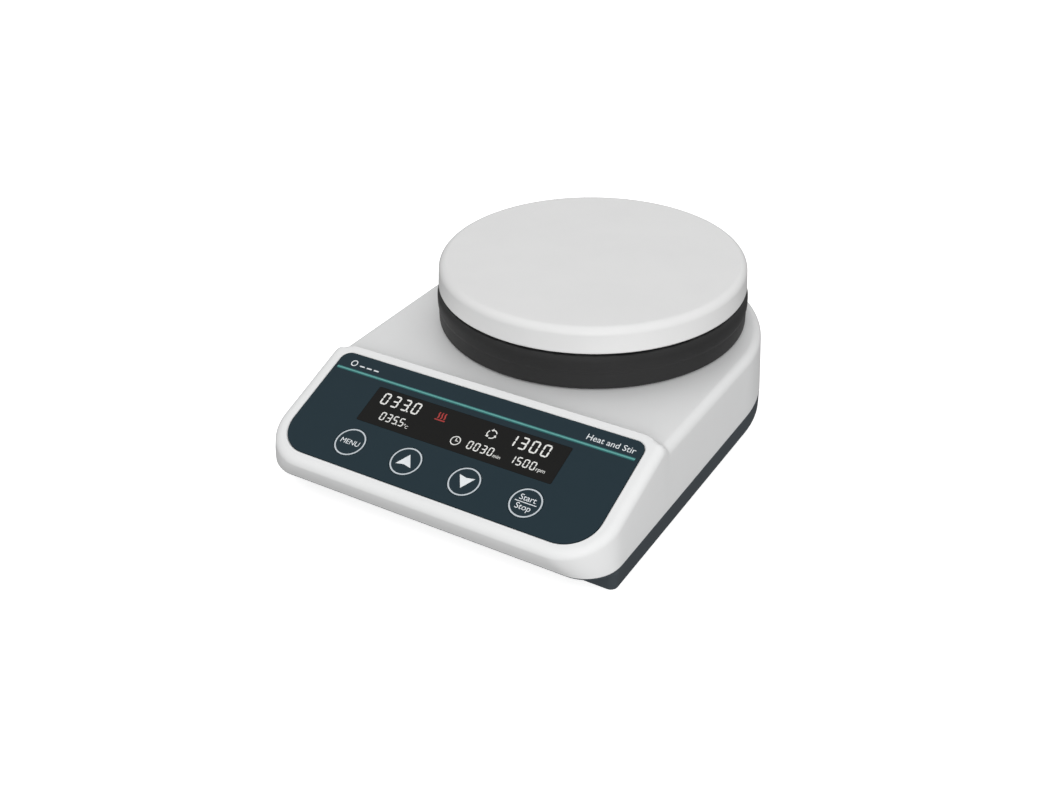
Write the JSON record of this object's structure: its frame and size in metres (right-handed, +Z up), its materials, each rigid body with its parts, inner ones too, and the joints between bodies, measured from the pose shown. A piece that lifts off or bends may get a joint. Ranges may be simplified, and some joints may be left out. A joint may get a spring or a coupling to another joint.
{
  "type": "magnetic stirrer",
  "caption": "Low bench magnetic stirrer with a round heated plate on a dark collar, a sloping front panel with display and press keys, and mains fittings at the rear",
  "frame": {"origin": "on the table under the middle of the machine", "axes": "+Y runs from the front panel to the rear, +X to the right seen from the front, +Z up"},
  "size_m": [0.158, 0.2098, 0.0652],
  "materials": {
    "cover_white": "satin moulded white plastic",
    "base_grey": "dark blue-grey moulded plastic",
    "foot_rubber": "soft black rubber",
    "steel_zinc": "zinc-plated steel",
    "panel_navy": "dark navy printed film with fine texture",
    "key_navy": "dark navy printed key caps with white marks",
    "window_smoke": "smoked clear acrylic",
    "display_black": "black display module with light segments",
    "board_green": "green circuit board",
    "plate_white": "white ceramic coating on aluminium",
    "collar_grey": "dark grey satin paint",
    "element_mica": "mica-faced heating element",
    "insulation_wool": "pressed mineral wool",
    "aluminium_raw": "plain machined aluminium",
    "motor_dark": "dark lacquered steel",
    "magnet_nickel": "nickel-plated magnet",
    "fitting_black": "black moulded fitting",
    "pin_brass": "plain brass contact",
    "fuse_glass": "clear glass tube"
  },
  "bodies": {
    "housing": {"base_screw_1": "steel_zinc", "base_screw_2": "steel_zinc", "base_screw_3": "steel_zinc", "base_screw_4": "steel_zinc", "base_tray": "base_grey", "chassis_plate": "steel_zinc", "control_board": "board_green", "display_module": "display_black", "display_window": "window_smoke", "foot_1": "foot_rubber", "foot_2": "foot_rubber", "foot_3": "foot_rubber", "foot_4": "foot_rubber", "front_panel": "panel_navy", "fuse_holder": "fitting_black", "heat_shield": "aluminium_raw", "heating_element": "element_mica", "heatsink": "aluminium_raw", "hot_plate": "plate_white", "inlet_pin_earth": "pin_brass", "inlet_pin_line": "pin_brass", "inlet_pin_neutral": "pin_brass", "insulation_disc": "insulation_wool", "main_board": "board_green", "mains_inlet": "fitting_black", "motor_bracket": "steel_zinc", "motor_housing": "motor_dark", "plate_collar": "collar_grey", "plate_post_1": "steel_zinc", "plate_post_2": "steel_zinc", "plate_post_3": "steel_zinc", "plate_sensor": "steel_zinc", "probe_socket": "steel_zinc", "rear_panel": "base_grey", "switch_frame": "fitting_black", "transformer": "motor_dark", "upper_cover": "cover_white"},
    "rotor": {"magnet_rotor": "aluminium_raw", "drive_magnet_left": "magnet_nickel", "drive_magnet_right": "magnet_nickel"},
    "menu_key_body": {"menu_key": "key_navy"},
    "up_key_body": {"up_key": "key_navy"},
    "down_key_body": {"down_key": "key_navy"},
    "start_stop_key_body": {"start_stop_key": "key_navy"},
    "rocker": {"power_rocker": "fitting_black"},
    "drawer": {"fuse_drawer": "fitting_black", "fuse": "fuse_glass"}
  },
  "joints": [
    {"name": "rotor_spin", "type": "hinge", "parent": "housing", "child": "rotor", "pos_m": [0, 0.0349, 0.0405], "axis": [0, 0, 1], "continuous": true},
    {"name": "menu_key_press", "type": "slide", "parent": "housing", "child": "menu_key_body", "axis": [0, 0.3376, -0.9413], "range_m": [0, 0.0005], "stiffness_N_per_m": 1200, "springref_m": -0.0004},
    {"name": "up_key_press", "type": "slide", "parent": "housing", "child": "up_key_body", "axis": [0, 0.3376, -0.9413], "range_m": [0, 0.0005], "stiffness_N_per_m": 1200, "springref_m": -0.0004},
    {"name": "down_key_press", "type": "slide", "parent": "housing", "child": "down_key_body", "axis": [0, 0.3376, -0.9413], "range_m": [0, 0.0005], "stiffness_N_per_m": 1200, "springref_m": -0.0004},
    {"name": "start_stop_key_press", "type": "slide", "parent": "housing", "child": "start_stop_key_body", "axis": [0, 0.3376, -0.9413], "range_m": [0, 0.0005], "stiffness_N_per_m": 1200, "springref_m": -0.0004},
    {"name": "power_switch_tilt", "type": "hinge", "parent": "housing", "child": "rocker", "pos_m": [0.0073, 0.098, 0.0226], "axis": [1, 0, 0], "range_deg": [0, 20]},
    {"name": "fuse_drawer_slide", "type": "slide", "parent": "housing", "child": "drawer", "axis": [0, 1, 0], "range_m": [0, 0.015]}
  ]
}
